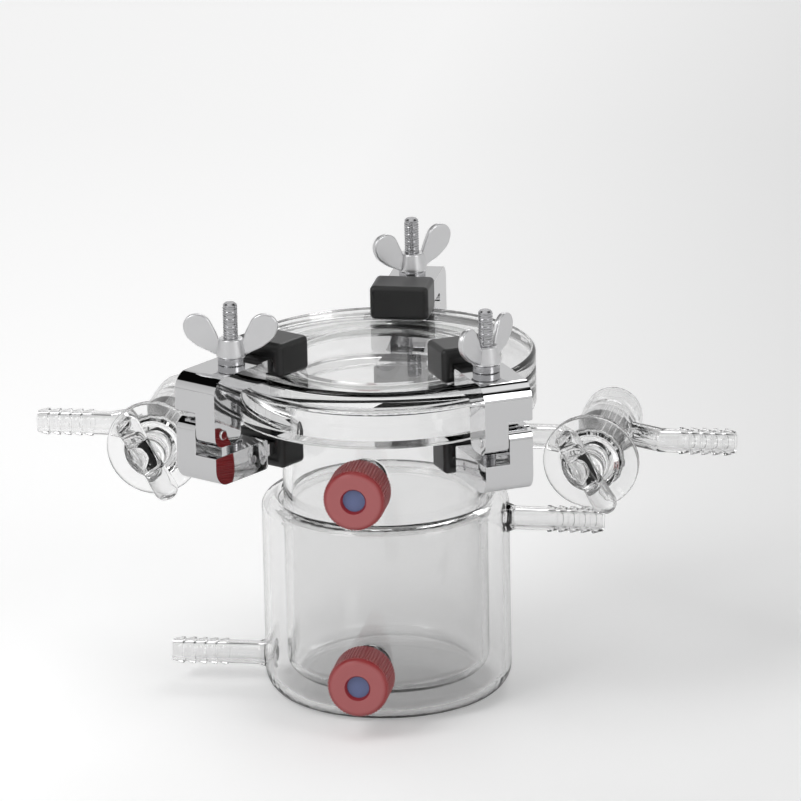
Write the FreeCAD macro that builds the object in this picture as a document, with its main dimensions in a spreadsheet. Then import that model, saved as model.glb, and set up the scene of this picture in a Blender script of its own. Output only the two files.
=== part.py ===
import FreeCAD, Part
import math
import os
import Sketcher

# A jacketed glass reactor with a flat window lid, held by screw clamps.
# Millimetres. The origin is the centre of the base, +Z is up.
# The two screw-cap ports face -Y, the stopcocks and jacket nozzles lie along X.

doc = FreeCAD.newDocument("glass_reactor")
sheet = doc.addObject("Spreadsheet::Sheet", "Sizes")

SIZES = [
    # the blown vessel
    ("bore_radius", 37.6),
    ("vessel_wall", 3.4),
    ("vessel_floor_wall", 3.0),
    ("jacket_radius", 49.8),
    ("jacket_wall", 2.8),
    ("jacket_floor_wall", 3.0),
    ("jacket_floor_gap", 5.5),
    ("base_corner", 10.0),
    ("vessel_corner", 8.0),
    ("shoulder_height", 82.0),
    ("shoulder_width", 6.0),
    ("shoulder_drop", 3.7),
    ("flange_face", 134.5),
    ("flange_thickness", 16.0),
    ("flange_radius", 61.5),
    # the ring seal and the window lid
    ("seal_radius", 45.5),
    ("seal_cord", 5.0),
    ("seal_groove_width", 5.8),
    ("lid_gap", 0.5),
    ("lid_thickness", 7.0),
    # hose nozzles
    ("hose_tube_radius", 4.8),
    ("hose_bore_radius", 3.1),
    ("barb_crest_radius", 5.4),
    ("barb_valley_radius", 4.4),
    ("barb_pitch", 4.5),
    ("barb_land", 0.9),
    ("nozzle_flare", 2.0),
    ("nozzle_reach", 88.6),
    ("inlet_height", 12.0),
    ("outlet_height", 73.0),
    # screw-cap ports
    ("port_tube_radius", 8.0),
    ("port_bore_radius", 5.6),
    ("port_reach", 67.0),
    ("upper_port_height", 100.5),
    ("lower_port_height", 23.0),
    ("septum_thickness", 3.0),
    ("septum_clearance", 0.3),
    ("cap_radius", 12.5),
    ("cap_bore_radius", 9.2),
    ("cap_aperture_radius", 4.5),
    ("cap_skirt", 12.0),
    ("cap_top", 2.0),
    ("flute_radius", 0.9),
    ("flute_count", 24),
    # stopcocks
    ("stopcock_offset", 88.3),
    ("stopcock_height", 106.8),
    ("barrel_radius", 12.0),
    ("barrel_front", 30.0),
    ("barrel_back", 43.0),
    ("barrel_disc_radius", 19.2),
    ("barrel_disc_thickness", 2.8),
    ("taper_front_radius", 9.6),
    ("taper_back_radius", 8.1),
    ("taper_back", 20.0),
    ("bulb_wall", 2.2),
    ("arm_radius", 5.0),
    ("arm_bore_radius", 3.0),
    ("arm_along", 2.0),
    ("branch_along", 16.0),
    ("branch_bend", 112.0),
    ("branch_reach", 142.0),
    ("plug_wall", 2.0),
    ("plug_head_radius", 11.5),
    ("plug_head_thickness", 3.2),
    ("plug_neck_radius", 6.5),
    ("grip_distance", 43.0),
    ("grip_half_length", 19.0),
    ("grip_end_radius", 5.2),
    ("grip_waist_radius", 4.3),
    ("grip_angle", 150.0),
    # clamps: each stud stands at a stud angle, and its clamp reaches out at a clamp angle
    ("back_stud_angle", 90.0),
    ("left_stud_angle", 226.5),
    ("right_stud_angle", 313.5),
    ("back_clamp_angle", 90.0),
    ("left_clamp_angle", 241.0),
    ("right_clamp_angle", 301.0),
    ("clamp_width", 20.0),
    ("clamp_outer", 97.0),
    ("clamp_inner", 65.0),
    ("leg_thickness", 16.0),
    ("lower_jaw_depth", 12.1),
    ("upper_jaw_rise", 8.5),
    ("upper_jaw_leg_drop", 7.0),
    ("upper_jaw_clearance", 0.5),
    ("jaw_corner", 7.0),
    ("finger_tip", 47.0),
    ("finger_width", 16.0),
    ("finger_thickness", 5.0),
    ("finger_offset", 3.0),
    ("knuckle_radius", 5.0),
    ("knuckle_gap", 0.4),
    ("hinge_pin_radius", 2.0),
    ("upper_pad_inner", 40.0),
    ("lower_pad_inner", 44.0),
    ("pad_outer", 58.0),
    ("pad_width", 24.0),
    ("pad_height", 14.0),
    ("pad_corner", 2.0),
    ("stud_distance", 74.0),
    ("stud_radius", 3.0),
    ("stud_hole_radius", 3.5),
    ("stud_top", 175.5),
    ("stud_pin_radius", 1.5),
    ("stud_pin_depth", 6.0),
    ("collar_radius", 5.4),
    ("collar_thickness", 3.0),
    ("hub_radius", 6.0),
    ("hub_top_radius", 4.8),
    ("hub_height", 7.5),
    ("wing_thickness", 2.4),
    ("wing_span", 37.8),
    ("wing_rise", 17.5),
    ("back_nut_angle", 44.0),
    ("left_nut_angle", 6.0),
    ("right_nut_angle", 67.0),
    # fits
    ("running_clearance", 0.05),
    ("seat_clearance", 0.05),
]

# sizes worked out from the driving ones
DERIVED = [
    ("neck_radius", "bore_radius + vessel_wall"),
    ("cavity_radius", "jacket_radius - jacket_wall"),
    ("vessel_underside", "jacket_floor_wall + jacket_floor_gap"),
    ("vessel_floor", "vessel_underside + vessel_floor_wall"),
    ("seam_height", "shoulder_height - shoulder_drop"),
    ("cavity_top", "shoulder_height - jacket_wall"),
    ("flange_underside", "flange_face - flange_thickness"),
    ("lid_underside", "flange_face + lid_gap"),
    ("lid_top", "lid_underside + lid_thickness"),
    ("groove_floor", "lid_underside - seal_cord"),
    ("port_face", "port_reach + seat_clearance"),
    ("cap_inner_face", "port_face + septum_thickness + seat_clearance"),
    ("cap_back", "port_reach - cap_skirt"),
    ("hinge_height", "(flange_underside + lid_top) / 2 - 3"),
    ("hinge_distance", "clamp_outer - knuckle_radius"),
    ("lower_jaw_base", "flange_underside - lower_jaw_depth"),
    ("upper_jaw_top", "lid_top + upper_jaw_rise"),
    ("leg_inner", "clamp_outer - leg_thickness"),
    ("lower_finger_top", "flange_underside - finger_offset"),
    ("upper_finger_base", "lid_top + finger_offset"),
    ("stud_pin_height", "flange_underside - stud_pin_depth"),
    ("collar_base", "upper_jaw_top + seat_clearance"),
    ("nut_base", "collar_base + collar_thickness + seat_clearance"),
]

row = 0
for alias, value in SIZES:
    row += 1
    sheet.set(f"A{row}", alias)
    sheet.set(f"B{row}", str(value))
    sheet.setAlias(f"B{row}", alias)
for alias, formula in DERIVED:
    row += 1
    sheet.set(f"A{row}", alias)
    sheet.set(f"B{row}", "=" + formula)
    sheet.setAlias(f"B{row}", alias)
doc.recompute()

X_AXIS = FreeCAD.Vector(1, 0, 0)
Y_AXIS = FreeCAD.Vector(0, 1, 0)
Z_AXIS = FreeCAD.Vector(0, 0, 1)
ALIASES = [name for name, content in SIZES + DERIVED]
SCRATCH_CELL = "D1"


def bound(text):
    """An expression over the sheet's aliases, as other objects write it."""
    word, out = "", []
    for letter in str(text) + " ":
        if letter.isalnum() or letter == "_":
            word += letter
            continue
        out.append("Sizes." + word if word in ALIASES else word)
        out.append(letter)
        word = ""
    return "".join(out).strip()


def number(text):
    """The present value of an expression over the sheet's aliases."""
    sheet.set(SCRATCH_CELL, "=" + str(text))
    sheet.recompute()
    return float(sheet.get(SCRATCH_CELL))


def bind(thing, **properties):
    for name, text in properties.items():
        thing.setExpression(name, bound(text))
    return thing


def put(thing, x="0", y="0", z="0", turn=None):
    """Places a thing: its rotation is given, its position is bound to the sheet."""
    thing.Placement = FreeCAD.Placement(FreeCAD.Vector(0, 0, 0), turn or FreeCAD.Rotation())
    for axis, text in (("x", x), ("y", y), ("z", z)):
        if text != "0":
            thing.setExpression("Placement.Base." + axis, bound(text))
    return thing


UPRIGHT = FreeCAD.Rotation()
ALONG_X = FreeCAD.Rotation(Y_AXIS, 90)
ALONG_MINUS_X = FreeCAD.Rotation(Y_AXIS, -90)
ALONG_Y = FreeCAD.Rotation(X_AXIS, -90)
ALONG_MINUS_Y = FreeCAD.Rotation(X_AXIS, 90)


def level_turn(across, along):
    """The rotation that lays a thing's Z along a level direction."""
    return FreeCAD.Rotation(math.degrees(math.atan2(along, across)), 90, 0)


def cylinder(name, radius, height, turn=UPRIGHT, x="0", y="0", z="0"):
    thing = doc.addObject("Part::Cylinder", name)
    bind(thing, Radius=radius, Height=height)
    return put(thing, x, y, z, turn)


def block(name, length, width, height, x="0", y="0", z="0"):
    thing = doc.addObject("Part::Box", name)
    bind(thing, Length=length, Width=width, Height=height)
    return put(thing, x, y, z)


def ball(name, radius, x="0", y="0", z="0"):
    thing = doc.addObject("Part::Sphere", name)
    bind(thing, Radius=radius)
    return put(thing, x, y, z)


def joined(name, things):
    thing = doc.addObject("Part::MultiFuse", name)
    thing.Shapes = things
    return thing


def less(name, base, tools):
    tool = tools[0] if len(tools) == 1 else joined(name + "_tools", tools)
    thing = doc.addObject("Part::Cut", name)
    thing.Base = base
    thing.Tool = tool
    return thing


def outline_sketch(body, name, plane, corners):
    """A closed outline. Each corner is (across, up) or (across, up, rounding), as expressions."""
    sketch = body.newObject("Sketcher::SketchObject", name)
    origin_plane = [f for f in body.Origin.OriginFeatures if f.Role == plane][0]
    sketch.AttachmentSupport = (origin_plane, [""])
    sketch.MapMode = "FlatFace"
    count = len(corners)
    spots = [FreeCAD.Vector(number(c[0]), number(c[1]), 0) for c in corners]
    entry, leave, arcs, turns_left = list(spots), list(spots), {}, {}
    for i, corner in enumerate(corners):
        if len(corner) < 3:
            continue
        radius = number(corner[2])
        before = (spots[i - 1] - spots[i]).normalize()
        after = (spots[(i + 1) % count] - spots[i]).normalize()
        half = before.getAngle(after) / 2
        entry[i] = spots[i] + before * (radius / math.tan(half))
        leave[i] = spots[i] + after * (radius / math.tan(half))
        middle = (before + after).normalize()
        centre = spots[i] + middle * (radius / math.sin(half))
        turns_left[i] = before.cross(after).z < 0
        start, end = (entry[i], leave[i]) if turns_left[i] else (leave[i], entry[i])
        first = math.atan2(start.y - centre.y, start.x - centre.x)
        last = math.atan2(end.y - centre.y, end.x - centre.x)
        circle = Part.Circle(centre, Z_AXIS, radius)
        arcs[i] = Part.ArcOfCircle(circle, first, last if last > first else last + 2 * math.pi)
    for i in range(count):
        sketch.addGeometry(Part.LineSegment(leave[i], entry[(i + 1) % count]), False)
    for i, corner in enumerate(corners):
        line_in, line_out = (i - 1) % count, i
        if i in arcs:
            arc = sketch.addGeometry(arcs[i], False)
            spot = sketch.addGeometry(Part.Point(spots[i]), True)
            ends = (1, 2) if turns_left[i] else (2, 1)
            sketch.addConstraint(Sketcher.Constraint("Tangent", line_in, 2, arc, ends[0]))
            sketch.addConstraint(Sketcher.Constraint("Tangent", line_out, 1, arc, ends[1]))
            sketch.addConstraint(Sketcher.Constraint("PointOnObject", spot, 1, line_in))
            sketch.addConstraint(Sketcher.Constraint("PointOnObject", spot, 1, line_out))
            held = sketch.addConstraint(Sketcher.Constraint("Radius", arc, number(corner[2])))
            sketch.setExpression(f"Constraints[{held}]", bound(corner[2]))
        else:
            spot = line_out
            sketch.addConstraint(Sketcher.Constraint("Coincident", line_in, 2, line_out, 1))
        for kind, text, axis in (("DistanceX", corner[0], -2), ("DistanceY", corner[1], -1)):
            if text == "0":
                sketch.addConstraint(Sketcher.Constraint("PointOnObject", spot, 1, axis))
                continue
            held = sketch.addConstraint(Sketcher.Constraint(kind, -1, 1, spot, 1, number(text)))
            sketch.setExpression(f"Constraints[{held}]", bound(text))
    return sketch


def turned(name, corners, turn=UPRIGHT, x="0", y="0", z="0"):
    """A solid of revolution. The outline's corners are (radius, distance along the axis)."""
    body = doc.addObject("PartDesign::Body", name)
    sketch = outline_sketch(body, name + "_outline", "XZ_Plane", corners)
    feature = body.newObject("PartDesign::Revolution", name + "_turning")
    feature.Profile = sketch
    feature.ReferenceAxis = (sketch, ["V_Axis"])
    feature.Angle = 360
    return put(body, x, y, z, turn)


def slab(name, corners, width):
    """A plate in the XZ plane, as thick as width, half of it on each side."""
    body = doc.addObject("PartDesign::Body", name)
    sketch = outline_sketch(body, name + "_outline", "XZ_Plane", corners)
    feature = body.newObject("PartDesign::Pad", name + "_pad")
    feature.Profile = sketch
    feature.SideType = "Symmetric"
    bind(feature, Length=width)
    return body


def label(thing, name):
    thing.Label = name
    pieces[name] = thing
    return thing


pieces = {}

# Hose nozzle: a plain tube with sawtooth barbs at its tip, turned about its own axis.


def nozzle(name, root, tip, turn, flare="0", x="0", y="0", z="0"):
    teeth = 5
    start = f"{tip} - {teeth} * barb_pitch"
    corners = [("0", root), (f"hose_tube_radius + {flare}", root)]
    if flare != "0":
        corners.append(("hose_tube_radius", f"{root} + 2.5 * {flare}"))
    corners.append(("hose_tube_radius", start))
    for tooth in range(teeth):
        corners.append(("barb_crest_radius", f"{start} + {tooth} * barb_pitch"))
        corners.append(("barb_crest_radius", f"{start} + {tooth} * barb_pitch + barb_land"))
        corners.append(("barb_valley_radius", f"{start} + {tooth + 1} * barb_pitch"))
    corners.append(("0", tip))
    return turned(name, corners, turn, x, y, z)


# The vessel: body, jacket, flange, ports, nozzles and stopcock barrels are fused glass.

shell = turned("vessel_shell", [
    ("0", "0"),
    ("jacket_radius", "0", "base_corner"),
    ("jacket_radius", "shoulder_height", "shoulder_width * 0.75"),
    ("jacket_radius - shoulder_width", "shoulder_height", "shoulder_width / 3"),
    ("neck_radius", "seam_height"),
    ("neck_radius", "flange_underside", "2"),
    ("flange_radius", "flange_underside", "2"),
    ("flange_radius", "flange_face", "1.5"),
    ("seal_radius + seal_groove_width / 2", "flange_face"),
    ("seal_radius + seal_groove_width / 2", "groove_floor"),
    ("seal_radius - seal_groove_width / 2", "groove_floor"),
    ("seal_radius - seal_groove_width / 2", "flange_face"),
    ("bore_radius", "flange_face", "1.5"),
    ("bore_radius", "vessel_floor", "vessel_corner - vessel_wall"),
    ("0", "vessel_floor"),
])
cavity = turned("jacket_space", [
    ("0", "jacket_floor_wall"),
    ("cavity_radius", "jacket_floor_wall", "base_corner - jacket_wall"),
    ("cavity_radius", "cavity_top", "shoulder_width * 0.4"),
    ("cavity_radius - shoulder_width / 2", "cavity_top"),
    ("neck_radius", "cavity_top - shoulder_drop"),
    ("neck_radius", "vessel_underside", "vessel_corner"),
    ("0", "vessel_underside"),
])
jacketed = less("jacketed_shell", shell, [cavity])

WALL_MIDDLE = "bore_radius + vessel_wall * 0.55"
JACKET_MIDDLE = "cavity_radius + jacket_wall * 0.35"
inlet = nozzle("inlet_nozzle", JACKET_MIDDLE, "nozzle_reach", ALONG_MINUS_X, "nozzle_flare",
               z="inlet_height")
outlet = nozzle("outlet_nozzle", JACKET_MIDDLE, "nozzle_reach", ALONG_X, "nozzle_flare",
                z="outlet_height")
glass = [jacketed, inlet, outlet]
HOSE_BORE_START = "neck_radius + 1.5"
bores = []
for side, turn, height in (("inlet", ALONG_MINUS_X, "inlet_height"), ("outlet", ALONG_X, "outlet_height")):
    sign = "-" if side == "inlet" else ""
    bores.append(cylinder(side + "_bore", "hose_bore_radius", f"nozzle_reach + 1 - ({HOSE_BORE_START})",
                          turn, x=f"{sign}({HOSE_BORE_START})", z=height))

for port in ("upper", "lower"):
    height = port + "_port_height"
    glass.append(turned(port + "_port_tube", [
        ("0", WALL_MIDDLE),
        ("port_tube_radius + 1.2", WALL_MIDDLE),
        ("port_tube_radius", f"{WALL_MIDDLE} + 4"),
        ("port_tube_radius", "port_reach", "1"),
        ("0", "port_reach"),
    ], ALONG_MINUS_Y, z=height))
    bores.append(cylinder(port + "_port_bore", "port_bore_radius", "port_reach - bore_radius + 6",
                          ALONG_MINUS_Y, y="-(bore_radius - 3)", z=height))

for side, sign in (("left", -1), ("right", 1)):
    mark = "-" if sign < 0 else ""
    offset = mark + "stopcock_offset"
    outward = ALONG_X if sign > 0 else ALONG_MINUS_X
    glass.append(turned(side + "_barrel", [
        ("0", "-barrel_front"),
        ("barrel_disc_radius", "-barrel_front", "1"),
        ("barrel_disc_radius", "barrel_disc_thickness - barrel_front", "1"),
        ("barrel_radius", "barrel_disc_thickness - barrel_front", "2"),
        ("barrel_radius", "barrel_back", "barrel_radius - 0.5"),
        ("0", "barrel_back"),
    ], ALONG_Y, x=offset, z="stopcock_height"))
    bores.append(turned(side + "_taper", [
        ("0", "-barrel_front - 1"),
        ("taper_front_radius", "-barrel_front - 1"),
        ("taper_front_radius", "-barrel_front"),
        ("taper_back_radius", "taper_back"),
        ("barrel_radius - bulb_wall", "taper_back + 3", "1"),
        ("barrel_radius - bulb_wall", "barrel_back - bulb_wall", "barrel_radius - bulb_wall - 0.5"),
        ("0", "barrel_back - bulb_wall"),
    ], ALONG_Y, x=offset, z="stopcock_height"))
    # the arm from the neck to the barrel
    glass.append(cylinder(side + "_arm", "arm_radius", f"stopcock_offset - ({WALL_MIDDLE})", outward,
                          x=f"{mark}({WALL_MIDDLE})", y="arm_along", z="stopcock_height"))
    bores.append(cylinder(side + "_arm_bore", "arm_bore_radius", "stopcock_offset - bore_radius + 4",
                          outward, x=f"{mark}(bore_radius - 4)", y="arm_along", z="stopcock_height"))
    # the branch leaves the barrel slanted and bends into line with the hose
    across = number("branch_bend - stopcock_offset")
    along = number("arm_along - branch_along")
    slant = level_turn(sign * across, along)
    reach = "sqrt((branch_bend - stopcock_offset)^2 + (branch_along - arm_along)^2)"
    bend = dict(x=f"{mark}branch_bend", y="arm_along", z="stopcock_height")
    glass.append(cylinder(side + "_branch", "hose_tube_radius", reach, slant, x=offset,
                          y="branch_along", z="stopcock_height"))
    glass.append(ball(side + "_bend", "hose_tube_radius", **bend))
    glass.append(nozzle(side + "_hose_nozzle", "0", "branch_reach - branch_bend", outward, **bend))
    bores.append(cylinder(side + "_branch_bore", "arm_bore_radius", reach, slant, x=offset,
                          y="branch_along", z="stopcock_height"))
    bores.append(ball(side + "_bend_bore", "arm_bore_radius", **bend))
    bores.append(cylinder(side + "_hose_bore", "arm_bore_radius", "branch_reach - branch_bend + 1",
                          outward, **bend))

label(less("vessel_glass", joined("vessel_blank", glass), bores), "vessel")

# The ring seal lies in the flange's groove and the window lid rests on it.

seal = doc.addObject("Part::Torus", "seal_ring")
bind(seal, Radius1="seal_radius", Radius2="seal_cord / 2 - 0.01")
label(put(seal, z="groove_floor + seal_cord / 2"), "flange_seal")

label(turned("window", [
    ("0", "lid_underside"),
    ("flange_radius", "lid_underside", "1.2"),
    ("flange_radius", "lid_top", "1.8"),
    ("0", "lid_top"),
]), "lid")

# Each screw cap presses a soft septum on the rim of its port.

for port in ("upper", "lower"):
    height = port + "_port_height"
    label(cylinder(port + "_septum_disc", "cap_bore_radius - septum_clearance", "septum_thickness",
                   ALONG_MINUS_Y, y="-port_face", z=height), port + "_port_septum")
    cap = turned(port + "_cap_blank", [
        ("cap_bore_radius", "cap_back"),
        ("cap_radius", "cap_back", "0.8"),
        ("cap_radius", "cap_inner_face + cap_top", "1.2"),
        ("cap_aperture_radius", "cap_inner_face + cap_top"),
        ("cap_aperture_radius", "cap_inner_face"),
        ("cap_bore_radius", "cap_inner_face"),
    ], ALONG_MINUS_Y, z=height)
    flute = cap.newObject("Sketcher::SketchObject", port + "_flute_outline")
    flute.AttachmentSupport = ([f for f in cap.Origin.OriginFeatures if f.Role == "XY_Plane"][0], [""])
    flute.MapMode = "FlatFace"
    ring = number("cap_radius + flute_radius / 2")
    flute.addGeometry(Part.Circle(FreeCAD.Vector(ring, 0, 0), Z_AXIS, number("flute_radius")), False)
    flute.addConstraint(Sketcher.Constraint("PointOnObject", 0, 3, -1))
    held = flute.addConstraint(Sketcher.Constraint("DistanceX", -1, 1, 0, 3, ring))
    flute.setExpression(f"Constraints[{held}]", bound("cap_radius + flute_radius / 2"))
    held = flute.addConstraint(Sketcher.Constraint("Radius", 0, number("flute_radius")))
    flute.setExpression(f"Constraints[{held}]", bound("flute_radius"))
    pocket = cap.newObject("PartDesign::Pocket", port + "_flute")
    pocket.Profile = flute
    pocket.Reversed = True
    bind(pocket, Length="cap_inner_face + cap_top + 5")
    pattern = cap.newObject("PartDesign::PolarPattern", port + "_flutes")
    pattern.Originals = [pocket]
    pattern.Axis = (flute, ["N_Axis"])
    pattern.Angle = 360
    bind(pattern, Occurrences="flute_count")
    cap.Tip = pattern
    label(cap, port + "_port_cap")

# Each stopcock plug is a hollow ground taper with a bar grip.

PLUG_FACE = "barrel_front + seat_clearance"
for side, sign in (("left", -1), ("right", 1)):
    mark = "-" if sign < 0 else ""
    offset = mark + "stopcock_offset"
    taper = turned(side + "_plug_taper", [
        ("0", "-(grip_distance - grip_waist_radius / 2)"),
        ("plug_neck_radius", "-(grip_distance - grip_waist_radius / 2)", "1.5"),
        ("plug_neck_radius", f"-({PLUG_FACE} + plug_head_thickness)", "1.5"),
        ("plug_head_radius", f"-({PLUG_FACE} + plug_head_thickness)", "1"),
        ("plug_head_radius", f"-({PLUG_FACE})", "0.5"),
        ("taper_front_radius - running_clearance", f"-({PLUG_FACE})"),
        ("taper_back_radius - running_clearance", "taper_back"),
        ("taper_back_radius - plug_wall", "taper_back"),
        ("taper_front_radius - plug_wall - 0.5", "3 - barrel_front", "3"),
        ("0", "3 - barrel_front"),
    ], ALONG_Y, x=offset, z="stopcock_height")
    grip_turn = FreeCAD.Rotation(Y_AXIS, number("grip_angle"))
    grip = turned(side + "_grip", [
        ("0", "-grip_half_length"),
        ("grip_end_radius", "-grip_half_length", "grip_end_radius - 0.6"),
        ("grip_waist_radius", "0"),
        ("grip_end_radius", "grip_half_length", "grip_end_radius - 0.6"),
        ("0", "grip_half_length"),
    ], grip_turn, x=offset, y="-grip_distance", z="stopcock_height")
    # the slanted way through the plug meets the arm on one side and the branch on the other
    slope = number("(branch_along - arm_along) / (branch_bend - stopcock_offset)")
    wall = number("taper_front_radius")
    far = number("branch_along") - slope * wall
    way = cylinder(side + "_plug_way", "arm_bore_radius", "taper_front_radius * 3",
                   level_turn(sign * 2 * wall, far - number("arm_along")), x=offset, z="stopcock_height")
    middle = (far + number("arm_along")) / 2
    direction = FreeCAD.Vector(sign * 2 * wall, far - number("arm_along"), 0).normalize()
    half = number("taper_front_radius * 1.5")
    way.setExpression("Placement.Base.x", bound(f"{offset} - {direction.x * half:.6f}"))
    way.setExpression("Placement.Base.y", bound(f"{middle - direction.y * half:.6f}"))
    label(less(side + "_plug", joined(side + "_plug_blank", [taper, grip]), [way]),
          side + "_stopcock_plug")

# Clamps: built along +X with the stud at stud_distance, then turned about the stud.
# The upper jaw's knuckle is on the side that faces the ports, the lower jaw's on the other.

for clamp, knuckle_side in (("back", -1), ("left", 1), ("right", -1)):
    around = FreeCAD.Rotation(Z_AXIS, number(clamp + "_clamp_angle"))
    angle = f"{clamp}_clamp_angle"
    stud_x = f"stud_distance * cos({clamp}_stud_angle)"
    stud_y = f"stud_distance * sin({clamp}_stud_angle)"

    def around_spot(distance):
        return {"x": f"{stud_x} + ({distance} - stud_distance) * cos({angle})",
                "y": f"{stud_y} + ({distance} - stud_distance) * sin({angle})"}

    def turned_clamp(thing, name):
        put(thing, turn=around, **around_spot("0"))
        return label(thing, clamp + "_" + name)

    def across_pin(name, radius, length, distance, height):
        rod = turned(f"{clamp}_{name}_rod", [
            ("0", f"-({length}) / 2"),
            (radius, f"-({length}) / 2", "0.4"),
            (radius, f"({length}) / 2", "0.4"),
            ("0", f"({length}) / 2"),
        ], around.multiply(ALONG_Y), z=height, **around_spot(distance))
        return label(rod, clamp + "_" + name)

    # lower jaw: block, finger and its knuckle of the hinge
    lower_block = slab(clamp + "_lower_block", [
        ("clamp_inner", "lower_jaw_base", "1.5"),
        ("clamp_outer", "lower_jaw_base", "jaw_corner"),
        ("clamp_outer", "flange_underside", "1.5"),
        ("clamp_inner", "flange_underside", "1"),
    ], "clamp_width")
    lower_finger = block(clamp + "_lower_finger", "clamp_inner - finger_tip + 2", "finger_width",
                         "finger_thickness", x="finger_tip", y="-finger_width / 2",
                         z="lower_finger_top - finger_thickness")
    lower_leg = slab(clamp + "_lower_leg", [
        ("leg_inner", "flange_underside - 3"),
        ("clamp_outer", "flange_underside - 3"),
        ("clamp_outer", "hinge_height + knuckle_radius", "knuckle_radius - 0.1"),
        ("leg_inner", "hinge_height + knuckle_radius", "knuckle_radius - 0.1"),
    ], "clamp_width")
    gap_start = "-knuckle_gap / 2" if knuckle_side > 0 else "knuckle_gap / 2 - (clamp_width / 2 + 2)"
    knuckle_room = block(clamp + "_knuckle_room", "leg_thickness + 6", "clamp_width / 2 + 2",
                         "hinge_height + knuckle_radius - flange_underside + 1",
                         x="leg_inner - 3", y=gap_start, z="flange_underside")
    lower_holes = [
        cylinder(clamp + "_lower_pin_hole", "hinge_pin_radius + running_clearance", "clamp_width + 4",
                 ALONG_Y, x="hinge_distance", y="-(clamp_width / 2 + 2)", z="hinge_height"),
        cylinder(clamp + "_stud_socket", "stud_hole_radius", "lower_jaw_depth + 4",
                 x="stud_distance", z="lower_jaw_base + 2.5"),
        cylinder(clamp + "_stud_pin_hole", "stud_pin_radius + running_clearance", "clamp_width + 4",
                 ALONG_Y, x="stud_distance", y="-(clamp_width / 2 + 2)", z="stud_pin_height"),
    ]
    lower_ear = less(clamp + "_lower_ear", lower_leg, [knuckle_room])
    turned_clamp(less(clamp + "_lower", joined(clamp + "_lower_blank",
                 [lower_block, lower_finger, lower_ear]), lower_holes), "lower_jaw")

    # upper jaw: top plate, outer leg, finger and its knuckle
    upper_block = slab(clamp + "_upper_block", [
        ("clamp_inner", "lid_top + upper_jaw_clearance", "1"),
        ("leg_inner", "lid_top + upper_jaw_clearance", "2"),
        ("leg_inner", "lid_top - upper_jaw_leg_drop"),
        ("clamp_outer", "lid_top - upper_jaw_leg_drop", "1.5"),
        ("clamp_outer", "upper_jaw_top", "jaw_corner"),
        ("clamp_inner", "upper_jaw_top", "1.5"),
    ], "clamp_width")
    upper_finger = block(clamp + "_upper_finger", "clamp_inner - finger_tip + 2", "finger_width",
                         "finger_thickness", x="finger_tip", y="-finger_width / 2",
                         z="upper_finger_base")
    upper_knuckle = slab(clamp + "_upper_knuckle", [
        ("leg_inner", "hinge_height - knuckle_radius", "knuckle_radius - 0.1"),
        ("clamp_outer", "hinge_height - knuckle_radius", "knuckle_radius - 0.1"),
        ("clamp_outer", "lid_top - upper_jaw_leg_drop + 2"),
        ("leg_inner", "lid_top - upper_jaw_leg_drop + 2"),
    ], "(clamp_width - knuckle_gap) / 2")
    put(upper_knuckle, y=f"{knuckle_side} * (clamp_width + knuckle_gap) / 4")
    upper_holes = [
        cylinder(clamp + "_upper_pin_hole", "hinge_pin_radius + running_clearance", "clamp_width + 4",
                 ALONG_Y, x="hinge_distance", y="-(clamp_width / 2 + 2)", z="hinge_height"),
        cylinder(clamp + "_stud_hole", "stud_hole_radius", "upper_jaw_rise + 4",
                 x="stud_distance", z="lid_top - 2"),
    ]
    turned_clamp(less(clamp + "_upper", joined(clamp + "_upper_blank",
                 [upper_block, upper_finger, upper_knuckle]), upper_holes), "upper_jaw")

    # the hinge pin, the stud and the pin that holds the stud's foot
    across_pin("hinge_pin", "hinge_pin_radius", "clamp_width + 1", "hinge_distance", "hinge_height")
    across_pin("stud_pin", "stud_pin_radius", "clamp_width - 0.6", "stud_distance", "stud_pin_height")
    stud_blank = turned(clamp + "_stud_rod_blank", [
        ("0", "lower_jaw_base + 2.5 + seat_clearance"),
        ("stud_radius", "lower_jaw_base + 2.5 + seat_clearance", "0.5"),
        ("stud_radius", "stud_top", "0.6"),
        ("0", "stud_top"),
    ], x="stud_distance")
    stud_eye = cylinder(clamp + "_stud_eye", "stud_pin_radius + running_clearance", "clamp_width",
                        ALONG_Y, x="stud_distance", y="-clamp_width / 2", z="stud_pin_height")
    turned_clamp(less(clamp + "_stud_drilled", stud_blank, [stud_eye]), "stud")

    # black shoes on the fingers
    for level, base in (("upper", "lid_top"), ("lower", "flange_underside - pad_height")):
        pad_block = block(f"{clamp}_{level}_pad_block", f"pad_outer - {level}_pad_inner", "pad_width",
                          "pad_height", x=f"{level}_pad_inner", y="-pad_width / 2", z=base)
        rounded = doc.addObject("Part::Fillet", f"{clamp}_{level}_pad_rounded")
        rounded.Base = pad_block
        corner = number("pad_corner")
        rounded.Edges = [(edge, corner, corner) for edge in range(1, 13)]
        finger_base = "upper_finger_base" if level == "upper" else "lower_finger_top - finger_thickness"
        pocket = block(f"{clamp}_{level}_pad_pocket", "pad_outer", "finger_width + 2 * seat_clearance",
                       "finger_thickness + 2 * seat_clearance", x="finger_tip - seat_clearance",
                       y="-(finger_width / 2 + seat_clearance)", z=f"{finger_base} - seat_clearance")
        turned_clamp(less(f"{clamp}_{level}_shoe", rounded, [pocket]), level + "_pad")

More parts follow.
